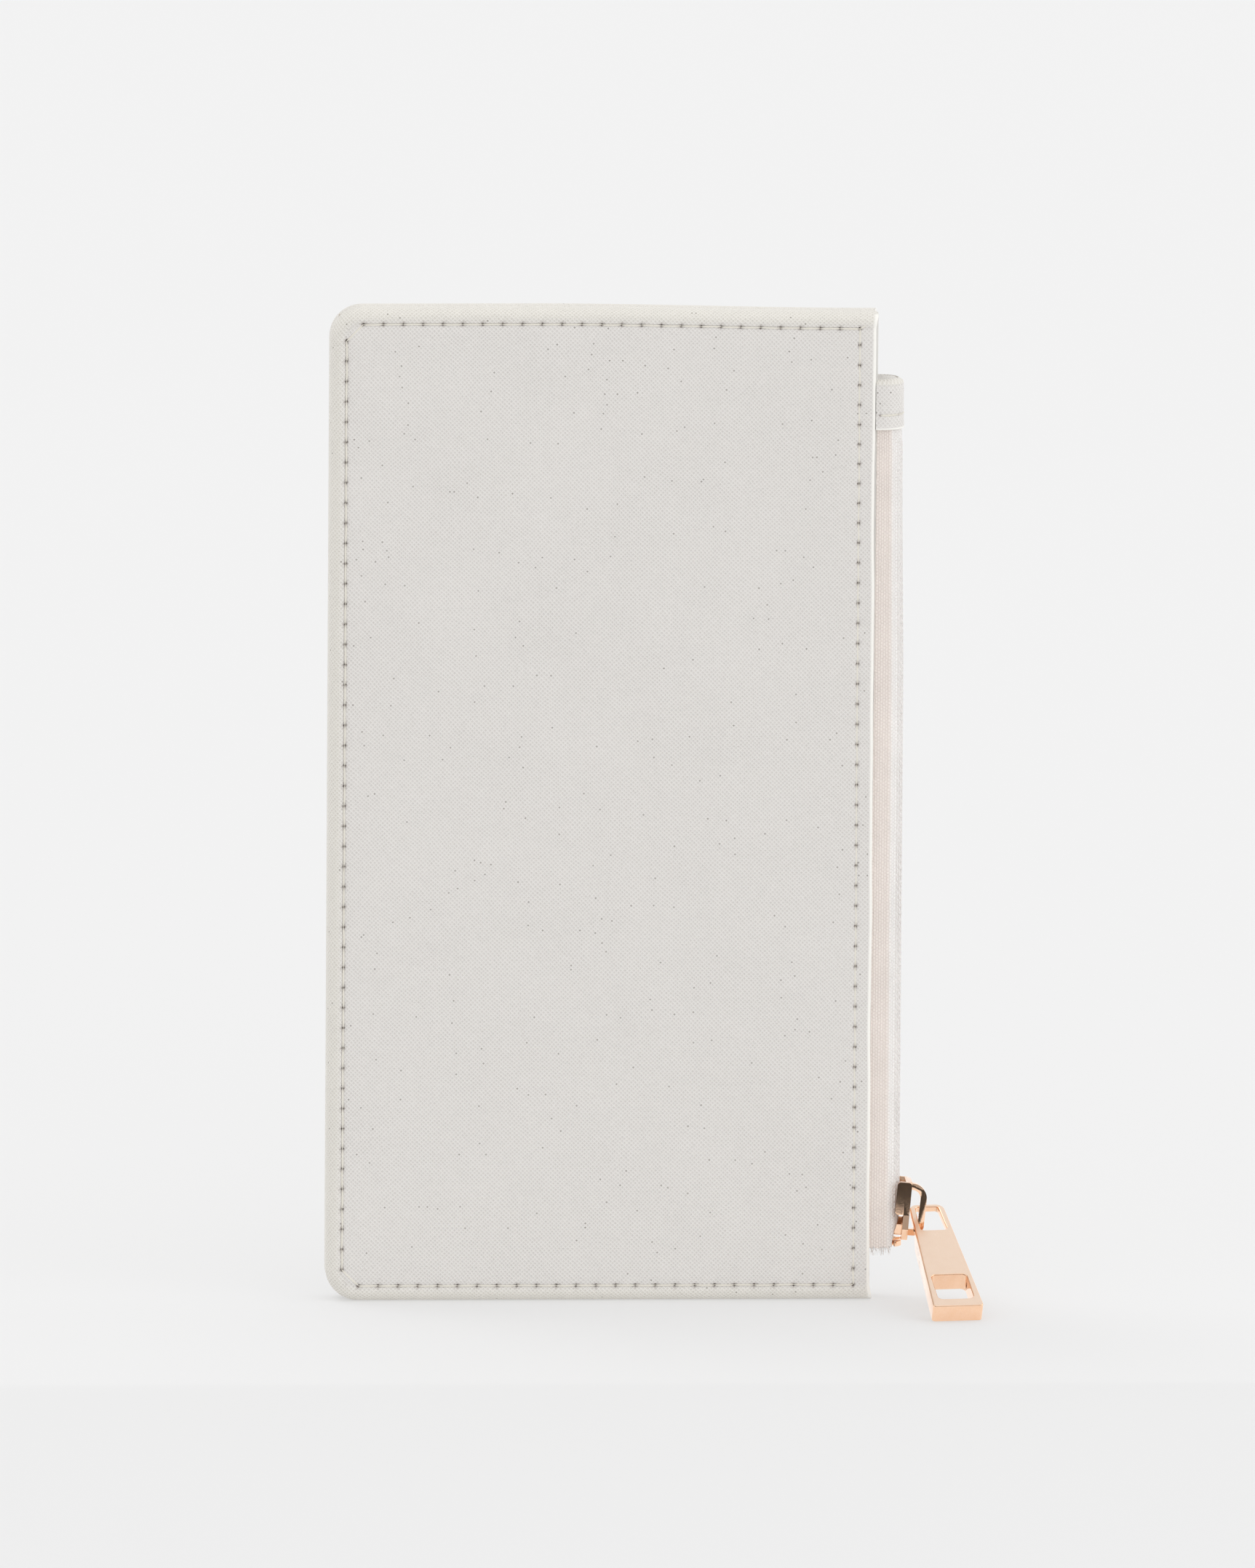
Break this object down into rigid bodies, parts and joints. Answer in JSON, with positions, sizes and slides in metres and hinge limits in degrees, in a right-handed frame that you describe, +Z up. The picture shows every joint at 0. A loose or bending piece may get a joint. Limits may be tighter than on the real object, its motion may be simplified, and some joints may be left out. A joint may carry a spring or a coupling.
{
  "type": "zip pouch",
  "caption": "Slim upright zip pouch of pocket prayer-book size in off-white cross-hatched leatherette, with a blush zip down its right edge and a rose-gold slider and pull.",
  "frame": {"origin": "middle of the bottom edge that the pouch stands on, at floor level, halfway through its thickness", "axes": "+X across the pouch towards its zip, +Y towards its rear panel, +Z up along its long side"},
  "size_m": [0.1078, 0.0287, 0.1663],
  "materials": {
    "leatherette": "satin",
    "board": "matte",
    "lining_cloth": "matte",
    "stitching": "matte",
    "zip_tape": "matte",
    "metallised_coil": "gloss",
    "rose_gold_metal": "polished"
  },
  "bodies": {
    "pouch": {"front_panel": "leatherette", "rear_panel": "leatherette", "zip_end_tab": "leatherette", "front_stiffener": "board", "rear_stiffener": "board", "front_lining": "lining_cloth", "rear_lining": "lining_cloth", "perimeter_needle_thread": "stitching", "perimeter_bobbin_thread": "stitching", "zip_seam_thread_front": "stitching", "zip_seam_thread_rear": "stitching", "tab_thread": "stitching", "zip_tape_front": "zip_tape", "zip_tape_rear": "zip_tape", "coil_thread_front": "zip_tape", "coil_thread_rear": "zip_tape", "coil_cord_front": "stitching", "coil_cord_rear": "stitching", "zip_coil_front": "metallised_coil", "zip_coil_rear": "metallised_coil", "top_stop_front": "rose_gold_metal", "top_stop_rear": "rose_gold_metal", "bottom_stop": "rose_gold_metal"},
    "slider": {"slider_body": "rose_gold_metal"},
    "pull": {"slider_pull": "rose_gold_metal"}
  },
  "joints": [
    {"name": "slider_slide", "type": "slide", "parent": "pouch", "child": "slider", "axis": [0, 0, 1], "range_m": [0, 0.1245], "deforming": ["zip_tape_front", "zip_tape_rear", "coil_thread_front", "coil_thread_rear", "zip_coil_front", "zip_coil_rear", "coil_cord_front", "coil_cord_rear"]},
    {"name": "pull_swing", "type": "hinge", "parent": "slider", "child": "pull", "pos_m": [0.0526, 0, 0.01323], "axis": [-1, 0, 0], "range_deg": [0, 68]}
  ]
}
